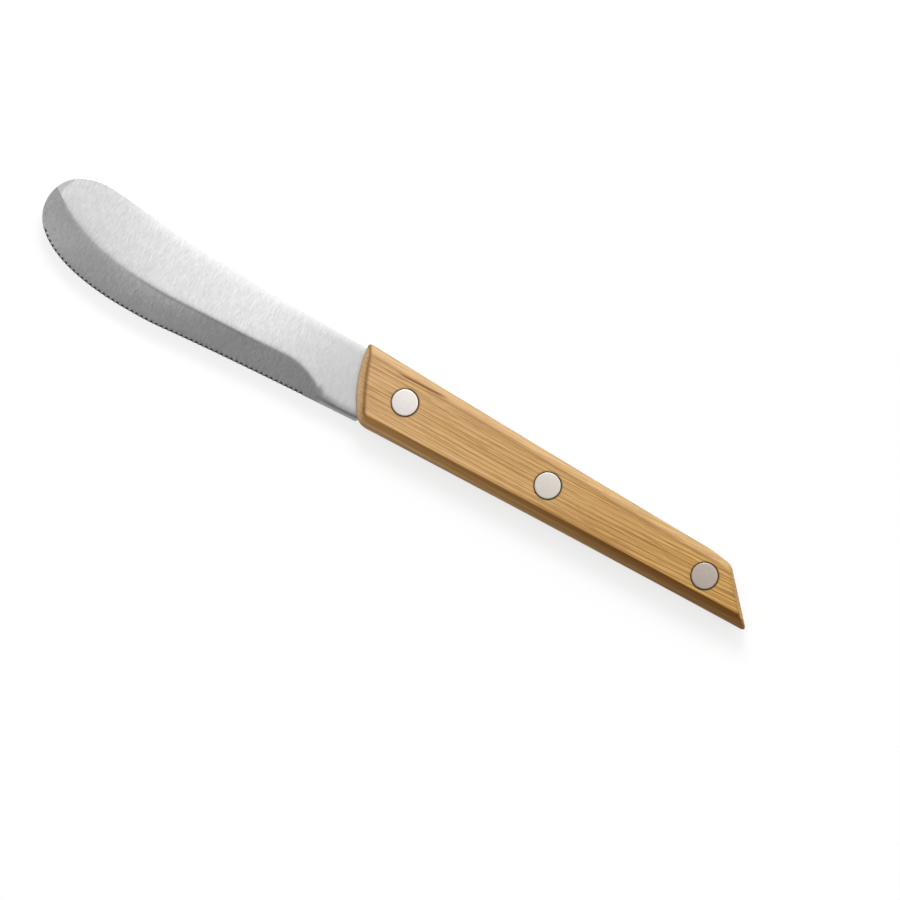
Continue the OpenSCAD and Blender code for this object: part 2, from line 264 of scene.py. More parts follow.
# %% [markdown]
# ## Stations
#
# The blade is a loft: closed rings in a row, one for each station along the edge. They
# stand close where the outline turns, and twelve to a tooth, so that each scallop is round.

# %% Stations along the edge
tooth_pitch, scallop_share = 1.41, 0.75
steps_per_tooth = 12
teeth_from = tip_at + 8
tooth_count = int((run_at(-9.8) - teeth_from) / tooth_pitch)
teeth_to = teeth_from + tooth_count * tooth_pitch
stations = np.concatenate([
    grind_from + (teeth_from - grind_from) * np.linspace(0, 1, 64)[:-1] ** 2,
    np.linspace(teeth_from, teeth_to, tooth_count * steps_per_tooth + 1),
    np.linspace(teeth_to, heel_at, 76)[1:],
])
print(tooth_count, "teeth,", len(stations), "stations")

# %% [markdown]
# ## The handle's outline
#
# The handle has a slanted, bulging front, a slanted butt and a short slope above it. Three
# of its five straight sides are bowed a little, and a small curve eases each corner. The
# tang follows the same outline, so this comes before the blade's mesh.

# %% Corners, sides and eased corners
handle_len, butt_slant, slope_len, shoulder_h = 117.3, 11.7, 6.1, 7.2
handle_corners = np.array([
    [-handle_front_lead, 9.85],
    [7.8 - handle_front_lead, -9.65],
    [handle_len, -6.65],
    [handle_len - butt_slant, shoulder_h - 0.9],
    [handle_len - butt_slant - slope_len, shoulder_h],
])
corner_reach = np.array([1.0, 2.4, 1.96, 1.2, 1.5])
waist, outer_bulge = 0.2, 1.6
side_steps, arc_steps = [44, 130, 18, 12, 130], 10
arc_shares = column(np.arange(1, arc_steps) / arc_steps)


def bowed(a, b, depth, t):
    """Points from a to b at the shares t, bowed to the right by depth times 1 - (2t - 1)^2."""
    return a + (b - a) * column(t) - left_of(unit(b - a)) * column(depth * (1 - (2 * t - 1) ** 2))


def handle_loop(corners, front_bulge, reach):
    """The five sides, the eased corner that follows each, and the closed loop of them all."""
    sides, arcs = [], []
    for i, depth in enumerate([front_bulge, -waist, 0, 0, -waist]):
        a, b = corners[i], corners[(i + 1) % 5]
        length = np.linalg.norm(b - a)
        shares = np.linspace(reach[i] / length, 1 - reach[(i + 1) % 5] / length, side_steps[i] + 1)
        sides.append(bowed(a, b, depth, shares))
    for i in range(5):
        arcs.append(pulled(sides[i][-1], corners[(i + 1) % 5], sides[(i + 1) % 5][0], arc_shares))
    return sides, arcs, np.concatenate([part for pair in zip(sides, arcs) for part in pair])


outer_sides, outer_arcs, outer_loop = handle_loop(handle_corners, outer_bulge, corner_reach)
print("outline of the handle:", len(outer_loop), "points")

# %% [markdown]
# ## The tang
#
# The tang is the steel between the scales. It shows only as a bright line along the
# handle's back, belly and butt, so its stations follow the handle's outline, flat and with
# no bevel.

# %% Stations of the tang
rising = outer_sides[4][::-1]
tang_back_path = np.concatenate([
    rising[rising[:, 0] > 1.5],
    outer_arcs[3][::-1],
    outer_sides[3][::-1],
    outer_arcs[2][::-1],
    outer_sides[2][-1:],
])
foot_arc = outer_arcs[0][outer_arcs[0][:, 0] > heel[0] + 0.6]
point_arc = np.concatenate([outer_arcs[1], outer_sides[2][:1]])
back_shares = runs_of(tang_back_path) / runs_of(tang_back_path)[-1]
foot_len = runs_of(outer_sides[1])[-1]
first_rise = column(np.arange(1, len(foot_arc) + 1) / (len(foot_arc) + 1))
last_fall = column(0.3 * np.arange(1, len(point_arc) + 1) / len(point_arc))
tang_back = np.concatenate([
    spine_end + (tang_back_path[0] - spine_end) * first_rise,
    tang_back_path,
    tang_back_path[-1] + (point_arc - tang_back_path[-1]) * last_fall,
])
tang_foot = np.concatenate([foot_arc, along(outer_sides[1], foot_len * back_shares), point_arc])
print("tang:", len(tang_back), "stations")

# %% [markdown]
# ## Rings of the blade
#
# Across one station the upper side goes: a rounded corner at the back, the flat, a softened line where the
# wheel's cut begins, the hollow bevel, and the cutting edge. The lower side mirrors it, but without the
# scallops. Each row is a distance from the back, the grind line or the edge, so all rows of all stations
# come out of a few array products. Near the tip the rows run aslant to the grind line, so the depth there
# goes by the width measured square to it. The grey crescent along the nose's back is painted shade.

# %% Numbers that belong to each station
back_round, flush = 0.15, 0.02
# Painted shade on the nose: a grey crescent along the back, this long and this wide.
crescent_shade_run, crescent_shade_w = 5.5, 3.0


def on_rings(on_blade, on_tang):
    """One number for each ring: those of the blade's stations, then those of the tang's."""
    return np.concatenate([on_blade + np.zeros(len(stations)), on_tang + np.zeros(len(tang_back))])


blade_edge = along(edge_path, stations)
back_at = back_len * (stations - grind_from) / (heel_at - grind_from)
tang_in = unit(tang_foot - tang_back)
tang_fade = np.exp(-np.arange(1, len(tang_back) + 1) / 2.5)
line_points = grind_line(stations)
line_off = line_points - blade_edge
line_width = np.linalg.norm(line_off, axis=1)
line_in = np.where(column(line_width > 1e-6), unit(line_off), left_of(heading(edge_path, stations)))
square = np.abs((line_in * left_of(unit(np.gradient(line_points, axis=0)))).sum(1))
square = np.where(stations < grind_from + cut_in_run, square, 1.0)

edge_points = np.concatenate([blade_edge, tang_foot])
edge_in = np.concatenate([line_in, -tang_in])
back_points = np.concatenate([along(back_path, back_at), tang_back])
back_in = np.concatenate([-left_of(heading(back_path, back_at)), tang_in])
widths = on_rings(line_width, np.maximum(corner_to_w * tang_fade, 0.1))
depths = on_rings(bevel_depth(line_width * square, stations), np.maximum(full_depth * tang_fade, flush))
corner = on_rings(corner_share(stations), 1)
round_r = on_rings(back_round, back_round * tang_fade + flush)
ground_run = on_rings(stations - grind_from, heel_at - grind_from)
past_plunge = ground_run + grind_from - plunge_from
softness = np.interp(ground_run, [0, 15, 30, 50, 90], [1.3, 1.1, 0.6, 0.55, 0.45])
softness += 0.35 * ease((past_plunge - 9) / 5)
belly_lean = np.interp(ground_run, [0, 14, 30, 42, 56, 70], [0.05, 0.05, -0.15, -0.3, -0.2, 0])
# Where a thin line of painted shade runs just below the grind line: from the belly to the plunge.
grind_line_shade_share = ease((ground_run - 34) / 12) * ease((-2 - past_plunge) / 12)
crescent_shade = on_rings(held(1 - back_at / crescent_shade_run) ** 0.8, 0)
roll_share = on_rings(0.15 + 0.85 * ease((back_at - 14) / 22), 0)

phase = (stations - teeth_from) / tooth_pitch % 1
in_teeth = (stations > teeth_from - 1e-6) & (stations < teeth_to - 1e-6)
scallop = np.abs(np.sin(np.pi * phase / scallop_share)) ** 0.5
scallop = on_rings(np.where(in_teeth & (phase < scallop_share), scallop, 0), 0)
print("rings:", len(widths), "deepest bevel:", depths.max().round(3))

# %% Rows of the upper side
scallop_w, scallop_slope, notch_d = 0.6, 0.55, 0.13
back_roll_slope, back_roll_w = 0.042, 5.0
broken_share = 0.36
far = 99.0


def upper_side():
    """Points and masks of the upper side, from the back to the edge.
    Back rows: a quarter circle, r (1 - cos a) inwards and r (1 - sin a) down.
    Flat rows: on the straight line between the rounded back and the grind line.
    Bevel rows: from the grind line to the edge, where the height is half the steel less depth
    times x + k x (1 - x), x being the share of the width with a softened start and k how much
    steeper it is above than below. Behind the plunge a rounded corner takes over, g x^2 + (1 - g) b^1.3,
    where g is a 28th of the width squared and b rises from 0 to 1 over the last 0.36 of the width.
    The back rolls off by a parabola, and a scallop cuts the last rows down along a slope."""
    w, sharp = column(widths), column(corner)
    line = edge_points + edge_in * w
    room = np.linalg.norm(line - back_points, axis=1, keepdims=True)
    r = np.minimum(column(round_r), 0.45 * room)
    soft = np.minimum(column(softness), 0.3 * w)
    turn = np.radians([np.linspace(0, 90, 7)])
    back_off = r * (1 - np.cos(turn))
    inner = back_points + back_in * r
    flat_len = np.linalg.norm(line - inner, axis=1, keepdims=True)
    flat_way = (line - inner) / np.maximum(flat_len, 1e-9)

    from_back = np.minimum([0.05, 0.3, 0.7, 1.2, 1.8, 2.6], flat_len * [0.02, 0.08, 0.16, 0.24, 0.32, 0.4])
    from_line = np.minimum(
        soft * [7, 4.5, 3, 2, 1.2, 0.5, 0],
        flat_len * [0.52, 0.44, 0.34, 0.24, 0.15, 0.07, 0],
    )
    below_line = np.minimum(soft * [0.5, 1.2, 2, 3, 4.5], w * [0.03, 0.07, 0.12, 0.17, 0.22])
    mid_bevel = w * [0.3, 0.39, 0.48, 0.57, 0.66, 0.74, 0.81]
    from_edge = np.minimum(
        [1.0, 0.75, 0.56, 0.46, 0.38, 0.3, 0.2, 0.1, 0],
        w * [0.15, 0.13, 0.11, 0.09, 0.07, 0.052, 0.035, 0.017, 0],
    )
    flat_at = np.concatenate([from_back, flat_len - from_line], 1)
    below = np.concatenate([below_line, mid_bevel, w - from_edge], 1)
    notch = notch_d * column(scallop) * held(1 - (w - below))
    plan = np.concatenate([
        back_points[:, None] + back_in[:, None] * back_off[..., None],
        inner[:, None] + flat_way[:, None] * flat_at[..., None],
        edge_points[:, None] + edge_in[:, None] * (w - below + notch)[..., None],
    ], 1)
    off_back = np.concatenate([back_off, flat_at + r, np.full_like(below, far)], 1)

    q = np.concatenate([np.zeros_like(back_off) - flat_len, flat_at - flat_len, below], 1)
    x = held((q + np.sqrt(q * q + soft**2)) / 2 / np.maximum(w, 1e-9))
    ground = x + column(belly_lean) * x * (1 - x)
    gentle = np.minimum(w**2 / 28, 0.7)
    broken = held(1 - (1 - x) / broken_share)
    rounded = gentle * x ** (1 + sharp) + (1 - gentle) * broken**1.3
    roll_w = np.clip(0.8 * room, 1e-6, back_roll_w)
    roll = back_roll_slope * column(roll_share) * roll_w / 2 * held(1 - off_back / roll_w) ** 2
    height = half_t - column(depths) * (ground + (rounded - ground) * sharp) - roll
    height[:, :turn.size] -= r * (1 - np.sin(turn))

    reach = scallop_w * column(scallop) - (w - q)
    cut = scallop_slope * np.clip(reach, 0, None)
    crescent_w = column(crescent_shade_w * crescent_shade)
    crescent_share = held(2.0 * (1 - off_back / np.maximum(crescent_w, 1e-6)))
    masks = {
        "bevel": held(q / 0.5) * (1 - sharp),
        "scallop": held(reach / 0.1),
        # painted shade: a thin dark line just below the grind line
        "grind_line_shade": np.exp(-(((q - 0.6) / 0.32) ** 2)) * column(grind_line_shade_share),
        # painted highlight on the rounded corner's rim
        "rim": held(1.6 * broken) * sharp,
        # painted shade: the grey crescent on the nose
        "crescent_shade": crescent_share * held(crescent_w / 0.8),
        # painted highlight along the rolled back, which is also left unbrushed
        "back": held(1 - off_back / 1.6) * column(held(roll_share - 0.15)),
    }
    return plan, height, height - cut, masks


plan, height, cut_height, blade_masks = upper_side()
print("rows across the blade:", plan.shape[1], "thinnest edge:", (cut_height + height)[:, -1].min().round(3))

# %% [markdown]
# ## From rings to a mesh
#
# Each ring of a loft and the next are joined by one quad for each pair of neighbours. Points
# that fall together, as at the start of the bevel, are merged, and the faces turned outwards.

# %% Making meshes
def loft_faces(rings, count):
    """Quads between each ring and the next, and round each ring from its last point to its first."""
    a = column(np.arange(rings - 1)) * count + np.arange(count)
    b = np.roll(a, -1, axis=1)
    return np.stack([a, b, b + count, a + count], -1).reshape(-1, 4)


def new_object(name, data):
    """A new object of the scene for the data."""
    made = bpy.data.objects.new(name, data)
    bpy.context.scene.collection.objects.link(made)
    return made


def make_piece(name, points, faces, masks=None):
    """A new object from points in the knife's measures, each mask kept as a point attribute.
    Doubles are merged, normals turned outwards."""
    mesh = bpy.data.meshes.new(name)
    mesh.from_pydata(in_frame(points).tolist(), [], faces)
    for label, values in (masks or {}).items():
        layer = mesh.attributes.new(label, "FLOAT", "POINT")
        layer.data.foreach_set("value", np.ravel(values).astype(np.float32))
    shape = bmesh.new()
    shape.from_mesh(mesh)
    bmesh.ops.remove_doubles(shape, verts=shape.verts, dist=5e-7)
    bmesh.ops.recalc_face_normals(shape, faces=shape.faces)
    shape.to_mesh(mesh)
    shape.free()
    mesh.shade_smooth()
    return new_object(name, mesh)


def tell(piece):
    """Prints a piece's faces, and its edges that don't have exactly two: 0 for a closed surface."""
    loops = np.zeros(len(piece.data.loops), np.int32)
    piece.data.loops.foreach_get("edge_index", loops)
    open_edges = (np.bincount(loops, minlength=len(piece.data.edges)) != 2).sum()
    print(piece.name + ":", len(piece.data.polygons), "faces, open edges:", open_edges)


# %% [markdown]
# ## The blade and tang
#
# The upper rows and the mirrored lower rows form the rings. One flat face closes the last
# ring, at the butt. A Boolean cuts the three rivet holes in the tang, as a drill does.

# %% The blade
upper_rows = np.concatenate([plan, cut_height[..., None]], -1)
lower_rows = np.concatenate([plan, -height[..., None]], -1)[:, ::-1]
rings = np.concatenate([upper_rows, lower_rows], 1)
ring_count, ring_size = rings.shape[:2]
blade_faces = loft_faces(ring_count, ring_size).tolist()
blade_faces.append(list(range((ring_count - 1) * ring_size, ring_count * ring_size)))
masks = {label: np.concatenate([values, values[:, ::-1]], 1) for label, values in blade_masks.items()}
masks["scallop"][:, ring_size // 2:] = 0
blade = make_piece("blade_steel_body", rings.reshape(-1, 3), blade_faces, masks)
tell(blade)

# %% Rivet holes in the tang
front_x, rear_x = 12.8, handle_len - 16.4
middle_x = front_x + (rear_x - front_x) * 0.477
rivet_labels = ("front", "middle", "rear")
centres = np.array([[front_x, 1.1], [middle_x, 0.7], [rear_x, 0.5]])
head_r, sleeve_r, post_r, head_t = 3.4, 2.0, 1.4, 1.4
hole_r, counterbore_r = sleeve_r + 0.1, head_r + 0.2
turn_steps = 96
around = np.linspace(0, 2 * np.pi, turn_steps + 1)[:-1]


def circle(centre, radius):
    """Points round a centre, counter-clockwise: radius times the cosine and sine of the angle."""
    return centre + radius * pointing(around)


def drill(piece, centre, radius):
    """Cuts a round hole through a piece with a Boolean, from a prism that is then thrown away."""
    ends = np.concatenate([raised(circle(centre, radius), z) for z in (-2 * half_t, 2 * half_t)])
    caps = np.arange(len(ends)).reshape(2, -1).tolist()
    cutter = make_piece("drill", ends, loft_faces(2, turn_steps).tolist() + caps)
    hole = piece.modifiers.new("hole", "BOOLEAN")
    hole.operation, hole.solver, hole.object = "DIFFERENCE", "EXACT", cutter
    evaluated = piece.evaluated_get(bpy.context.evaluated_depsgraph_get())
    drilled = bpy.data.meshes.new_from_object(evaluated)
    piece.modifiers.clear()
    piece.data = drilled
    bpy.data.objects.remove(cutter)


for centre in centres:
    drill(blade, centre, hole_r)
blade.data.set_sharp_from_angle(angle=np.radians(40))
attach(blade, "root")
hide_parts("blade")
tell(blade)

# %% [markdown]
# ## The bamboo scales
#
# Each scale is a flat slip of bamboo, milled to the tang's outline and bevelled all round:
# the flat face is the outline with each side moved inwards by its own bevel's width. Sanding
# by hand left small rounds, a broad one outside and a crisp one inside.

# %% The flat face inside the bevels
bevel_h = 2.4
bevel_widths = np.array([0.7, 3.0, 0.95, 1.9, 2.35])
front_bevel_bottom_w = 1.25
border_widths = np.array([0.75, 0.35, 0.5, 0.3, 0.25])
face_bulge, face_reach = 0.4, 0.4 * corner_reach


def meet(p, u, q, w):
    """Point where the line through p along u meets the line through q along w, by the cross products."""
    cross = u[0] * w[1] - u[1] * w[0]
    return p + u * ((q - p)[0] * w[1] - (q - p)[1] * w[0]) / cross


def inset(corners, widths):
    """Corners of the form whose sides are moved inwards, each by its width: neighbours meet there."""
    ways = unit(np.roll(corners, -1, axis=0) - corners)
    moved = corners + left_of(ways) * column(widths)
    return np.array([meet(moved[i - 1], ways[i - 1], moved[i], ways[i]) for i in range(len(corners))])


face_corners = inset(handle_corners, bevel_widths)
face_corners[1] = inset(handle_corners, [front_bevel_bottom_w, *bevel_widths[1:]])[1]
face_loop = handle_loop(face_corners, face_bulge, face_reach)[2]
border_loop = handle_loop(inset(face_corners, border_widths), face_bulge, face_reach)[2]
face_in = left_of(unit(np.roll(face_loop, -1, axis=0) - np.roll(face_loop, 1, axis=0)))
print("face corners:", face_corners.round(2).tolist())

# %% Sides of the handle round the loop
sides_of_loop = []
for i, here in enumerate(np.eye(5)):
    after = np.eye(5)[(i + 1) % 5]
    sides_of_loop += [np.tile(here, (len(outer_sides[i]), 1)), here * (1 - arc_shares) + after * arc_shares]
side_weights = np.concatenate(sides_of_loop)
print("points of the loop:", len(side_weights))

# %% [markdown]
# The wall and the bevel are a profile carried round the outline: at each share t of the way
# to the flat face there is one height, on three straight lines with a round between each
# pair. Flat areas with holes are filled with triangles by Delaunay's rule. Round each rivet
# the wood is sanded a hair lower, so the hard head stands proud and has a shadow at its rim.

# %% Profile of the wall and the bevel
wall_h = scale_t - bevel_h
inner_round, broad_rows, crisp_rows = 0.2, 8, 6
outer_round = np.array([[0, wall_h - 0.7], [0, wall_h], [0.3, wall_h + 0.3 * bevel_h]])
bevel_line = column([0.42, 0.55, 0.68, 0.8, 0.88])
profile = np.concatenate([
    [[0, 0], [0, 0.15], [0, 0.9]],
    pulled(*outer_round, column(np.linspace(0, 1, broad_rows))),
    np.concatenate([bevel_line, wall_h + bevel_h * bevel_line], 1),
])


def bevel_wall():
    """The profile carried round the outline, at share t of the way to the flat face, then the crisp
    round at the face's border, a row just inside it, and the border loop."""
    rows = [raised(outer_loop + (face_loop - outer_loop) * t, z) for t, z in profile]
    border = raised(face_loop, scale_t)
    down, inwards = unit(raised(outer_loop - face_loop, -bevel_h)), raised(face_in, 0)
    a, b = border + down * inner_round, border + inwards * inner_round
    crisp = pulled(a, border, b, np.linspace(0, 1, crisp_rows)[:, None, None])
    return np.stack([*rows, *crisp, b + inwards * 0.05, raised(border_loop, scale_t)])


wall_rows = bevel_wall()
print("wall rows:", wall_rows.shape)

# %% Filling a flat area round its holes
def fill_flat(border, radius, extra_rings=()):
    """Points and triangles between a border and the rivets' holes inside it. All rings are fixed edges
    of the triangulation, and triangles whose middle lies in a hole are left out."""
    loops = [border, *(circle(centre, radius) for centre in centres), *extra_rings]
    starts = np.cumsum([0] + [len(loop) for loop in loops])
    numbers = [first + np.arange(len(loop)) for first, loop in zip(starts, loops)]
    edges = np.concatenate([np.stack([row, np.roll(row, -1)], -1) for row in numbers])
    points = [Vector(p) for p in np.concatenate(loops).tolist()]
    out = delaunay_2d_cdt(points, edges.tolist(), [], 1, 1e-6)
    points, faces = np.array([tuple(p) for p in out[0]]), np.array(out[2])
    away = np.linalg.norm(points[faces].mean(1)[:, None] - centres, axis=2) > radius
    return points, faces[away.all(1)]


sanded_low, sanded_run = 0.07, 0.42


def near_rivet(points):
    """Share of the sanded run left at each point, from 1 at a counterbore's rim to 0 at the run's end,
    and the way to the point from the nearest rivet."""
    ways = points[:, None] - centres
    distance = np.linalg.norm(ways, axis=2)
    nearest = ways[np.arange(len(points)), distance.argmin(1)]
    return held(1 - (distance.min(1) - counterbore_r) / sanded_run), unit(nearest)


dish_radii = counterbore_r + sanded_run * np.array([0.3, 0.65, 1.0])
dish_rings = [circle(centre, r) for centre in centres for r in dish_radii]
face_points, face_tris = fill_flat(border_loop, counterbore_r, dish_rings)
base_points, base_tris = fill_flat(outer_loop, hole_r)
print("triangles of the face:", len(face_tris), "and of the base:", len(base_tris))

# %% [markdown]
# Marks on the scales' points guide the material: how near a point is to the arris between bevel and face,
# with the front's sharp upper tip; how deep it lies on the bevel along the belly, which gets painted shade;
# how much painted sheen lightens the bevel at the front and the back; and how near it is to a rivet, whose
# rim gets painted shade, most on its side towards the butt.

# %% One scale
# The side of each rivet on which its ring of painted shade is darkest.
rivet_shade_way = np.array([0.96, -0.27])


def scale_marks():
    """Values of the marks on the wall's rows: the side's weight times a curve across it."""
    up = column([*profile[:, 0], *np.linspace(0.95, 1.0, crisp_rows), 1.0, 1.0])
    past = column([*np.zeros(len(profile)), *np.linspace(0, 0.3, crisp_rows), 0.4, 1.0])
    front, bottom, butt, slope, top = side_weights.T[:, None]
    toe = front * ease((-4.6 - outer_loop[:, 1]) / 2.6)
    darker = 0.2 + 0.65 * held(outer_loop[:, 0] / handle_len)
    low = held(held(2.6 * bottom) + toe * (0.3 + 0.7 * up))
    on_bevel = ease(up / 0.12) * held(1 - 2.5 * past)
    near_arris = held(1 - np.abs(up - 1) / 0.35) * (1 - past)
    front_tip = 4 * front * top * on_bevel
    return {
        "arris": near_arris * (front + 0.6 * top + 0.5 * slope + 0.3 * butt) * (1 - front_tip) + front_tip,
        # painted shade on the bevel along the belly, deeper towards the rear
        "under": on_bevel * low * (darker + (1 - darker) * up),
        # painted sheen on the bevels, most at the front and on top
        "painted_sheen": on_bevel * ((front + 0.25 * bottom) * (1 - up) + (top + slope) * (1 - 0.6 * up)),
    }


def make_scale(name, node, side):
    """A closed scale: wall and bevel, dished face, base, and in each hole the counterbore's wall, its
    floor and the through hole. side is 1 above, -1 below."""
    left, ways = near_rivet(face_points)
    parts = [
        (wall_rows.reshape(-1, 3), loft_faces(*wall_rows.shape[:2])),
        (raised(face_points, scale_t - sanded_low * left**2), face_tris),
        (raised(base_points, 0), base_tris),
    ]
    steps = [(counterbore_r, scale_t - sanded_low), (counterbore_r, scale_t - head_t)]
    steps += [(hole_r, scale_t - head_t), (hole_r, 0)]
    for centre in centres:
        rows = [raised(circle(centre, r), z) for r, z in steps]
        parts.append((np.concatenate(rows), loft_faces(len(steps), turn_steps)))
    firsts = np.cumsum([0] + [len(points) for points, _ in parts])
    points = np.concatenate([points for points, _ in parts])
    faces = [face for first, part in zip(firsts, parts) for face in (part[1] + first).tolist()]
    rest = np.zeros(len(points) - firsts[1])
    masks = {label: np.concatenate([values.ravel(), rest]) for label, values in scale_marks().items()}
    # Painted shade round each rivet, darkest on its butt side, and over its counterbore and hole.
    masks["rivet_ring_shade"] = np.zeros(len(points))
    masks["rivet_ring_shade"][firsts[1]:firsts[2]] = left * (0.35 + 0.65 * ease((ways @ rivet_shade_way + 1) / 2))
    masks["rivet_ring_shade"][firsts[3]:] = 1
    piece = make_piece(name, (points + [0, 0, half_t]) * [1, 1, side], faces, masks)
    piece.data.set_sharp_from_angle(angle=np.radians(50))
    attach(piece, "root")
    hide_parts(node)
    tell(piece)
    return piece


scales = [
    make_scale("upper_scale_bamboo", "upper_scale", 1),
    make_scale("lower_scale_bamboo", "lower_scale", -1),
]

# %% [markdown]
# ## The rivets
#
# A cutler's compression rivet is turned on a lathe, so it is a profile carried round an axis:
# a flat disc with a broken rim, on a hollow half from above and a solid half from below. Each
# half is a piece of its own, as in the CAD.

# %% Turning a rivet
grip = 2 * (half_t + scale_t - head_t)
sleeve_len, post_len = grip - 0.5, grip - 0.8
rim, crown = 0.14, 0.03


def head_profile(inner_r):
    """Head from its axis over the crowned face and the rim to the underside: the crown falls with
    the square of the radius, and the rim is a quarter circle."""
    r = np.linspace(0, head_r - rim, 12)
    top = np.column_stack([r, head_t - crown * (r / head_r) ** 2])
    a = np.radians(np.linspace(90, 0, 6))[1:]
    round_rim = [head_r - rim, top[-1, 1] - rim] + rim * pointing(a)
    return np.concatenate([top, round_rim, [[head_r, 0.02], [head_r - 0.02, 0], [inner_r, 0]]])


def turned(name, node, profile_rz, place, side):
    """A closed turned piece: the profile goes round the axis at a place. side is 1 for a head above,
    -1 for one below."""
    r, z = profile_rz.T
    flat = circle(place, r[:, None, None]).reshape(-1, 2)
    points = raised(flat, (np.repeat(z, turn_steps) + grip / 2) * side)
    masks = {"radius": np.repeat(r, turn_steps) * mm}
    piece = make_piece(name, points, loft_faces(len(r), turn_steps).tolist(), masks)
    piece.data.set_sharp_from_angle(angle=np.radians(35))
    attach(piece, "root")
    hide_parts(node)
    tell(piece)
    return piece


sleeve_profile = np.concatenate([
    head_profile(sleeve_r),
    [[sleeve_r, -sleeve_len + 0.1], [sleeve_r - 0.1, -sleeve_len]],
    [[post_r, -sleeve_len], [post_r, 0], [0, 0]],
])
post_profile = np.concatenate([
    head_profile(post_r),
    [[post_r, -post_len + 0.2], [post_r - 0.2, -post_len], [0, -post_len]],
])
rivets = {}
for label, place in zip(rivet_labels, centres):
    rivets[label] = [
        turned(f"{label}_rivet_hollow_half", f"{label}_rivet_sleeve", sleeve_profile, place, 1),
        turned(f"{label}_rivet_solid_half", f"{label}_rivet_post", post_profile, place, -1),
    ]

# %% [markdown]
# ## Tools for materials
#
# A material is a graph of nodes. These helpers take outputs of other nodes or plain
# values, and work in the tree of those outputs.

# %% Node helpers
def feed(sockets, values):
    """Gives each named input its value: a number or colour, or a link from another node's output."""
    for key, value in values.items():
        if isinstance(value, bpy.types.NodeSocket):
            value.id_data.links.new(value, sockets[key])
        else:
            sockets[key].default_value = value


def add(kind, inputs, tree=None, **settings):
    """A new shader node of a kind with its inputs and settings, in the tree of those inputs."""
    for value in inputs.values():
        if isinstance(value, bpy.types.NodeSocket):
            tree = value.id_data
    node = tree.nodes.new("ShaderNode" + kind)
    for key, value in settings.items():
        setattr(node, key, value)
    feed(node.inputs, inputs)
    return node


def maths(operation, a, b=0.0, clamp=False):
    """One Math node's output."""
    return add("Math", {0: a, 1: b}, operation=operation, use_clamp=clamp).outputs[0]


def times(a, b):
    """The product of two values."""
    return maths("MULTIPLY", a, b)


def mapped(value, low, high, to_low=0.0, to_high=1.0, smooth=False):
    """A value mapped from one range to another and held there, along a smooth step if asked."""
    inputs = {"Value": value, "From Min": low, "From Max": high, "To Min": to_low, "To Max": to_high}
    kind = "SMOOTHSTEP" if smooth else "LINEAR"
    return add("MapRange", inputs, interpolation_type=kind).outputs[0]


def fading(value, low, high):
    """1 up to low, 0 from high on, and a smooth step between them."""
    return mapped(value, low, high, 1.0, 0.0, smooth=True)


def blended(share, a, b, kind="MIX"):
    """Colour a turned towards colour b by a share."""
    inputs = {0: share, 6: a, 7: b}
    return add("Mix", inputs, data_type="RGBA", blend_type=kind).outputs[2]


def painted(base, *coats):
    """A colour under coats of others: each coat, a share and a colour, is blended over the last."""
    for share, coat in coats:
        base = blended(share, base, coat)
    return base


def tone(value):
    """A grey with the given brightness, as a colour."""
    return (value, value, value, 1.0)


def axes(vector):
    """The outputs X, Y and Z of a vector."""
    return add("SeparateXYZ", {0: vector}).outputs


def stretched(vector, cell):
    """Coordinates divided by the size of a pattern's cell along each axis, in metres."""
    scale = [1 / length for length in cell]
    return add("Mapping", {"Vector": vector, "Scale": scale}).outputs[0]


def noise(vector, cell=None, detail=2.0, roughness=0.5):
    """Noise in cells of the given size, or in cells of 1."""
    vector = stretched(vector, cell) if cell else vector
    inputs = {"Vector": vector, "Scale": 1.0, "Detail": detail, "Roughness": roughness}
    return add("TexNoise", inputs).outputs[0]


def bump(height, strength, distance):
    """The normal that a height gives."""
    return add("Bump", {"Height": height, "Strength": strength, "Distance": distance}).outputs[0]


def mark(tree, label):
    """A point attribute of the piece, as a number."""
    return add("Attribute", {}, tree, attribute_name=label).outputs["Fac"]


def group(name, inputs, outputs):
    """A new node group with its named sockets: the tree, what it is given and what it gives."""
    tree = bpy.data.node_groups.new(name, "ShaderNodeTree")
    for label, kind in inputs.items():
        tree.interface.new_socket(name=label, in_out="INPUT", socket_type=kind)
    for label in outputs:
        tree.interface.new_socket(name=label, in_out="OUTPUT", socket_type=FLOAT)
    return tree, tree.nodes.new("NodeGroupInput").outputs, tree.nodes.new("NodeGroupOutput").inputs


def grouped(made, inputs):
    """The outputs of a group that is placed in a material."""
    return add("Group", inputs, node_tree=made).outputs


def new_material(name):
    """An empty node material: itself, its tree, its surface shader and the Object coordinates."""
    material = bpy.data.materials.new(name)
    material.use_nodes = True
    tree = material.node_tree
    return material, tree, tree.nodes["Principled BSDF"], add("TexCoord", {}, tree).outputs["Object"]


FLOAT, VECTOR = "NodeSocketFloat", "NodeSocketVector"

# %% [markdown]
# ## Brushing
#
# Both metals show fine scratches that all run one way: noise squeezed across them and drawn
# out along them, in a layer of broad soft streaks and one of hair-fine lines. Steel and
# rivets share it, so it is a group, with a streak value for colour and roughness and a height
# for bump.

# %% The brushing group
brushing, given, results = group(
    "brushing", {"Broad": VECTOR, "Fine": VECTOR, "Fine share": FLOAT}, ("Streak", "Height")
)
broad = noise(given["Broad"], detail=3.0, roughness=0.6)
fine = noise(given["Fine"], roughness=0.55)
mixed = add("Mix", {0: given["Fine share"], 2: broad, 3: fine}, data_type="FLOAT").outputs[0]
feed(results, {"Streak": mapped(mixed, 0.3, 0.7), "Height": maths("ADD", fine, times(broad, 0.5))})
print("brushing nodes:", len(brushing.nodes))
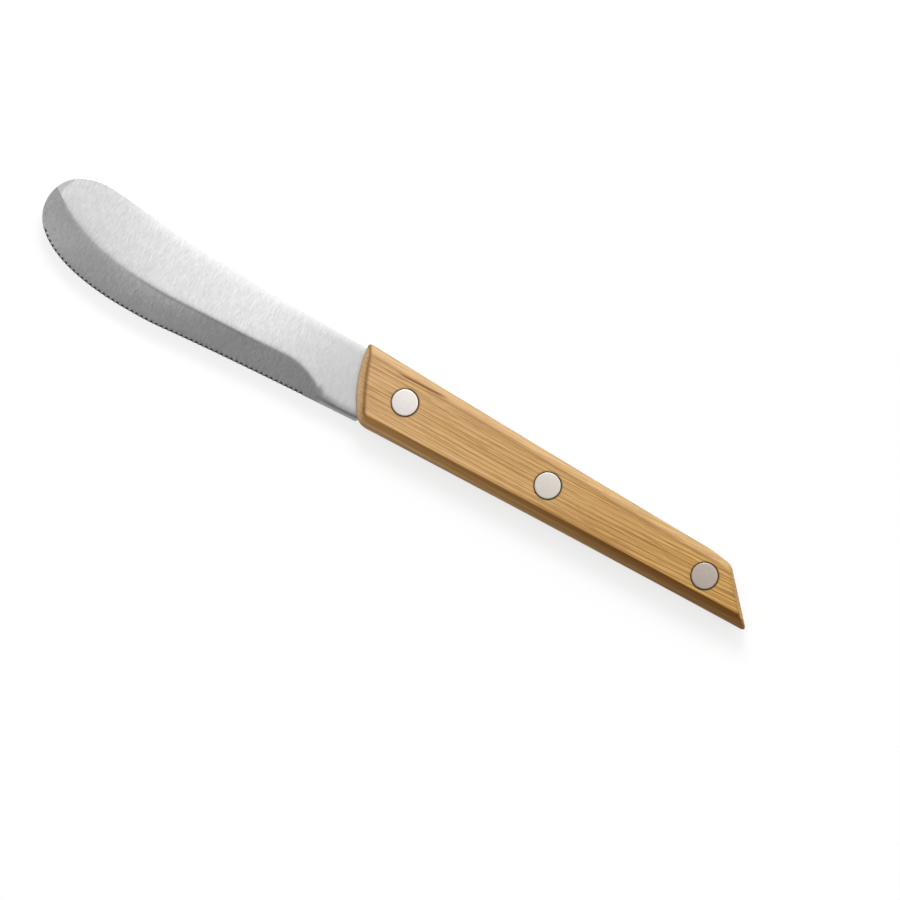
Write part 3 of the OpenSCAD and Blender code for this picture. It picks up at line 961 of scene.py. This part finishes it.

# %% [markdown]
# ## Brushed steel
#
# The blade was brushed square to its length, so the streaks run from back to edge. The bevel is painted a
# darker tone, painted shade on top of the darker ceiling that it mirrors, and a thin line of painted shade
# runs along its top. The scallops are raw from the cutter and dull, and painted near black for the shade in
# their hollows and the dirt they hold. The rolled back is smooth and painted paler as a highlight, the
# rounded corner's rim has a painted highlight, and towards the tip and the handle the steel is a little
# greyer.

# %% The steel's material
steel, tree, shader, coords = new_material("brushed_steel")
bevel_mark, scallop_shade_and_dirt, unbrushed_back_and_highlight = (mark(tree, label) for label in ("bevel", "scallop", "back"))
streaks = grouped(brushing, {
    "Broad": stretched(coords, (0.0004, 0.0035, 0.0035)),
    "Fine": stretched(coords, (0.0002, 0.0011, 0.0011)),
    "Fine share": 0.6,
})
clouds = noise(coords, (0.03, 0.02, 0.02))
x_place = axes(coords)["X"]
near_handle = mapped(x_place, -0.044, -0.012, smooth=True)
handle_grey = times(near_handle, mapped(bevel_mark, 0, 1, 0.5, 0.25))
tip_grey = times(fading(x_place, -0.096, -0.058), 0.24)
towards_heel = mapped(x_place, -0.078, -0.046, smooth=True)
flat_tone = blended(streaks["Streak"], tone(0.67), tone(0.97))
# The bevel's tone is painted darker than the flat's: painted shade on top of the darker ceiling it mirrors.
ground_shaded_tone = blended(streaks["Streak"], tone(0.55), tone(0.84))
ground_shaded_tone = blended(towards_heel, ground_shaded_tone, tone(0.8), "MULTIPLY")
# A little painted light on the bevel at the tip.
ground_shaded_tone = blended(fading(x_place, -0.098, -0.086), ground_shaded_tone, tone(1.06), "MULTIPLY")
steel_tone = painted(
    blended(bevel_mark, flat_tone, ground_shaded_tone),
    (mapped(clouds, 0.35, 0.65, 0, 0.06), tone(0.5)),
    (maths("ADD", handle_grey, tip_grey), tone(0.42)),
    # painted shade: the grey crescent on the nose
    (times(mark(tree, "crescent_shade"), 0.58), tone(0.4)),
    # a thin line of painted shade just below the grind line
    (times(mark(tree, "grind_line_shade"), 0.45), tone(0.25)),
    # painted highlight on the rounded corner's rim, greying towards the handle
    (mark(tree, "rim"), blended(mapped(x_place, -0.0185, -0.0139), tone(1.0), tone(0.55))),
    # painted highlight along the rolled back
    (times(unbrushed_back_and_highlight, 0.85), tone(0.88)),
    # The scallops are painted near black: shade in their hollows, and dirt.
    (scallop_shade_and_dirt, tone(0.06)),
)
relief = times(streaks["Height"], maths("SUBTRACT", 1.0, unbrushed_back_and_highlight))
feed(shader.inputs, {
    "Base Color": steel_tone,
    "Roughness": maths("ADD", mapped(streaks["Streak"], 0, 1, 0.27, 0.35), times(scallop_shade_and_dirt, 0.3)),
    "Metallic": 1.0,
    "Normal": bump(relief, 0.25, 0.00002),
})
blade.data.materials.clear()
blade.data.materials.append(steel)
print("steel nodes:", len(tree.nodes))

# %% [markdown]
# ## Bamboo
#
# A bamboo scale is glued up from strips. Its fibres run nearly straight and bend gently near
# the butt. They show in the tan wood as soft bands, a ripple about a millimetre apart, fine
# lines, a few thin veins, and short dark dashes, the cut bundles that carried the plant's
# sap. The pattern is read in three dimensions, so lines go on over the bevels.

# %% The fibre group
patterns = ("Bands", "Ripple", "Lines", "Veins", "Dashes", "Along")
fibre, given, results = group("bamboo_fibre", {"Vector": VECTOR}, patterns)
at = axes(given["Vector"])
bend = times(maths("POWER", maths("ABSOLUTE", at["X"]), 3.0), 2.0)
bend = maths("ADD", bend, times(at["X"], 0.01))
wander = noise(given["Vector"], (0.06, 0.012, 0.012), 1.0)
bent_y = maths("ADD", maths("SUBTRACT", at["Y"], bend), times(wander, 0.0004))
bent = add("CombineXYZ", {0: at["X"], 1: bent_y, 2: at["Z"]}).outputs[0]
ripple_gap = 0.00116
ripple = mapped(maths("SINE", times(bent_y, 2 * np.pi / ripple_gap)), 0.0, 1.0)
ripple_size = noise(bent, (0.025, 0.0024, 0.004), 1.0)
veins = noise(bent, (0.045, 0.0007, 0.0012), 1.0, 0.4)
feed(results, {
    "Bands": mapped(noise(bent, (0.08, 0.0017, 0.003)), 0.34, 0.66),
    "Ripple": times(ripple, mapped(ripple_size, 0.22, 0.45)),
    "Lines": mapped(noise(bent, (0.03, 0.0002, 0.0006), 1.0, 0.6), 0.38, 0.62),
    "Veins": fading(maths("ABSOLUTE", maths("SUBTRACT", veins, 0.5)), 0.0, 0.022),
    "Dashes": mapped(noise(bent, (0.006, 0.00022, 0.0005), 1.0), 0.56, 0.72, smooth=True),
    "Along": mapped(at["X"], -0.012, 0.104),
})
print("fibre nodes:", len(fibre.nodes))

# %% [markdown]
# The wood is honey at the front and a deeper brown at the rear, where the lines stand out more. The bevel
# along the belly is painted darker and browner, as painted shade on that side, and the arrises are darker,
# most of all at the front. The top and front bevels get a painted sheen, and the wood round each rivet
# painted shade. A reddish streak by the front rivet is a flaw of the plant. A thin coat of oil gives the
# satin gloss.

# %% The bamboo's material
def colour(red, green, blue):
    """A colour read off on a screen, 0 to 255, as the linear colour that a shader needs."""
    share = np.array([red, green, blue]) / 255
    linear = np.where(share < 0.04045, share / 12.92, ((share + 0.055) / 1.055) ** 2.4)
    return (*linear.tolist(), 1.0)


streak_at = in_frame([14.6, 7.1, 0.0])
streak_len, streak_w, streak_slant = 16 * mm, 0.5 * mm, 0.04

bamboo, tree, shader, coords = new_material("oiled_bamboo")
grain = grouped(fibre, {"Vector": coords})
lines, ripple, rearwards = grain["Lines"], grain["Ripple"], grain["Along"]
at = axes(coords)
beside = maths("SUBTRACT", at["X"], streak_at[0])
above = maths("SUBTRACT", maths("SUBTRACT", at["Y"], streak_at[1]), times(beside, streak_slant))
red_streak = times(
    fading(maths("ABSOLUTE", above), 0, streak_w),
    fading(maths("ABSOLUTE", beside), 0.25 * streak_len, 0.5 * streak_len),
)
red_streak = times(red_streak, mapped(at["Z"], 0.008, 0.009))
light_wood = blended(rearwards, colour(236, 194, 141), colour(233, 185, 111))
dark_wood = blended(rearwards, colour(205, 163, 109), colour(186, 139, 70))
# Painted shade for the bevel along the belly: darker, browner wood with its lines.
belly_shade_colour = painted(
    blended(mapped(rearwards, 0, 0.66), colour(192, 140, 72), colour(128, 78, 10)),
    (mapped(lines, 0, 1, 0.3, 0.0), colour(84, 54, 22)),
    (times(ripple, 0.25), colour(84, 54, 22)),
)
wood = painted(
    blended(lines, dark_wood, light_wood),
    (mapped(grain["Bands"], 0, 1, 0.1, 0.0), colour(176, 132, 78)),
    (times(ripple, mapped(rearwards, 0, 0.4, 0.2, 0.42)), colour(150, 102, 44)),
    (times(grain["Veins"], mapped(rearwards, 0, 0.6, 0.35, 0.55)), colour(150, 96, 34)),
    (times(grain["Dashes"], 0.45), colour(140, 96, 44)),
    # painted shade on the bevel along the belly
    (mark(tree, "under"), belly_shade_colour),
    # painted sheen on the bevels
    (times(mark(tree, "painted_sheen"), 0.45), colour(240, 208, 162)),
    (times(mark(tree, "arris"), 0.8), colour(124, 72, 24)),
    # painted shade round each rivet
    (times(mark(tree, "rivet_ring_shade"), 0.8), colour(70, 44, 24)),
    (times(red_streak, 0.85), colour(120, 66, 30)),
)
feed(shader.inputs, {
    "Base Color": wood,
    "Roughness": mapped(lines, 0, 1, 0.55, 0.42),
    "Coat Weight": 0.04,
    "Coat Roughness": 0.3,
    "Specular IOR Level": 0.15,
    "Normal": bump(lines, 0.35, 0.00006),
})
for piece in scales:
    piece.data.materials.append(bamboo)
print("bamboo nodes:", len(tree.nodes))

# %% [markdown]
# ## Rivet metal
#
# The heads are turned, so their faint marks are rings round the axis: the brushing group reads each point's
# radius in place of a direction. The surface is mottled. Towards the butt the rivets are painted darker, as
# painted shade where the light falls off, so each has its own lighter or darker copy of the material.

# %% The rivets' materials
def rivet_material(name, bright, dark):
    """Turned metal between two tones: ring marks from the radius, and faint clouds."""
    material, tree, shader, coords = new_material(name)
    radius = add("CombineXYZ", {0: mark(tree, "radius")}).outputs[0]
    marks = grouped(brushing, {
        "Broad": stretched(radius, (0.0007, 1, 1)),
        "Fine": stretched(radius, (0.00016, 1, 1)),
        "Fine share": 0.3,
    })
    clouds = noise(coords, (0.0008, 0.0008, 0.0008), 3.0)
    metal = blended(marks["Streak"], dark, bright)
    feed(shader.inputs, {
        "Base Color": blended(mapped(clouds, 0.35, 0.65, 0, 0.6), metal, dark),
        "Roughness": mapped(marks["Streak"], 0, 1, 0.36, 0.3),
        "Metallic": 1.0,
        "Normal": bump(marks["Height"], 0.2, 0.00002),
    })
    return material


# Painted shade: the same metal, lightest at the front rivet and darker towards the butt.
rivet_tone_by_light = {
    "front": rivet_material("rivet_metal_lit", (0.92, 0.86, 0.82, 1), (0.84, 0.78, 0.74, 1)),
    "middle": rivet_material("rivet_metal_half_lit", (0.79, 0.74, 0.67, 1), (0.7, 0.65, 0.58, 1)),
    "rear": rivet_material("rivet_metal_shaded", (0.56, 0.49, 0.43, 1), (0.48, 0.41, 0.36, 1)),
}
for label, halves in rivets.items():
    for piece in halves:
        piece.data.materials.append(rivet_tone_by_light[label])
print("rivet finishes:", len(rivet_tone_by_light))

# %% [markdown]
# ## Floor, light and camera
#
# The knife lies on a plain white floor. A studio shot like this has a large soft box overhead
# that reaches towards the blade's back: flat steel mirrors it and looks nearly white, while
# the bevel, tilted the other way, mirrors the darker ceiling. Both, and the white room at the
# horizon, are painted into the world by direction. One lamp adds a soft key from the tip's
# side.

# %% The floor
floor_r, floor_drop = 3.0, 0.0001
floor_mesh = bpy.data.meshes.new("floor")
disc = raised(circle(np.zeros(2), floor_r), -floor_drop)
floor_mesh.from_pydata(disc.tolist(), [], [list(range(turn_steps))])
floor = new_object("floor", floor_mesh)

paper, tree, shader, _ = new_material("white_floor")
path = add("LightPath", {}, tree).outputs
seen = maths("ADD", path["Is Camera Ray"], path["Is Glossy Ray"], clamp=True)
seen = maths("ADD", seen, path["Is Transmission Ray"], clamp=True)
feed(shader.inputs, {
    "Base Color": tone(0.3),
    "Roughness": 0.9,
    "Specular IOR Level": 0.0,
    "Emission Color": tone(1.0),
    "Emission Strength": times(seen, 0.745),
})
floor_mesh.materials.append(paper)
print("floor:", 2 * floor_r, "m across")

# %% The world
world = bpy.data.worlds.new("studio")
bpy.context.scene.world = world
world.use_nodes = True
tree = world.node_tree
dx, dy, dz = axes(add("TexCoord", {}, tree).outputs["Generated"])
up = maths("MAXIMUM", dz, 0.05)
over_x, over_y = maths("DIVIDE", dx, up), maths("DIVIDE", dy, up)
soft_box = times(mapped(over_y, -0.17, 0.03, smooth=True), fading(over_y, 1.0, 1.6))
soft_box = times(soft_box, mapped(over_x, -0.5, 0.05, 0.62, 1.0, smooth=True))
soft_box = times(soft_box, fading(over_x, 1.0, 1.6))
ceiling = 0.21
room = times(fading(dz, 0.3, 0.45), mapped(dy, -0.7, 0.2, 0.4, 1.0, smooth=True))
light = maths("ADD", maths("MAXIMUM", room, ceiling), soft_box)
feed(tree.nodes["Background"].inputs, {"Color": tone(1.0), "Strength": light})
print("world nodes:", len(tree.nodes))

# %% The key lamp
key = bpy.data.lights.new("key", "AREA")
key.shape, key.size = "DISK", 0.5
key.energy = 6.5
lamp = new_object("key", key)
lamp.location = (-0.3, 0.7, 1.1)
lamp.rotation_mode = "QUATERNION"
lamp.rotation_quaternion = lamp.location.to_track_quat("Z", "Y")
lamp.visible_camera = False
print("lamp:", key.energy, "W")

# %% [markdown]
# The camera looks straight down from three metres through a long lens, turned so that the
# knife slants as in the photograph. The lens follows from the picture's width at the knife.

# %% The camera
picture_px, mm_per_px = 900, 0.2545
view_middle_px = np.array([113.0, -14.5, 0.0])
camera_h, sensor = 3.0, 36.0
knife_turn = np.arctan2(0.4947, 0.86906)
camera_data = bpy.data.cameras.new("camera")
camera_data.sensor_width = sensor
camera_data.lens = sensor * camera_h / (picture_px * mm_per_px * mm)
camera_data.clip_end = 20.0
camera = new_object("camera", camera_data)
camera.location = (*in_frame(view_middle_px * mm_per_px)[:2], camera_h + scale_high * mm)
camera.rotation_euler = (0.0, 0.0, knife_turn)
bpy.context.scene.camera = camera
bpy.context.scene.view_settings.view_transform = "Standard"
print("lens:", round(camera_data.lens, 1), "mm")
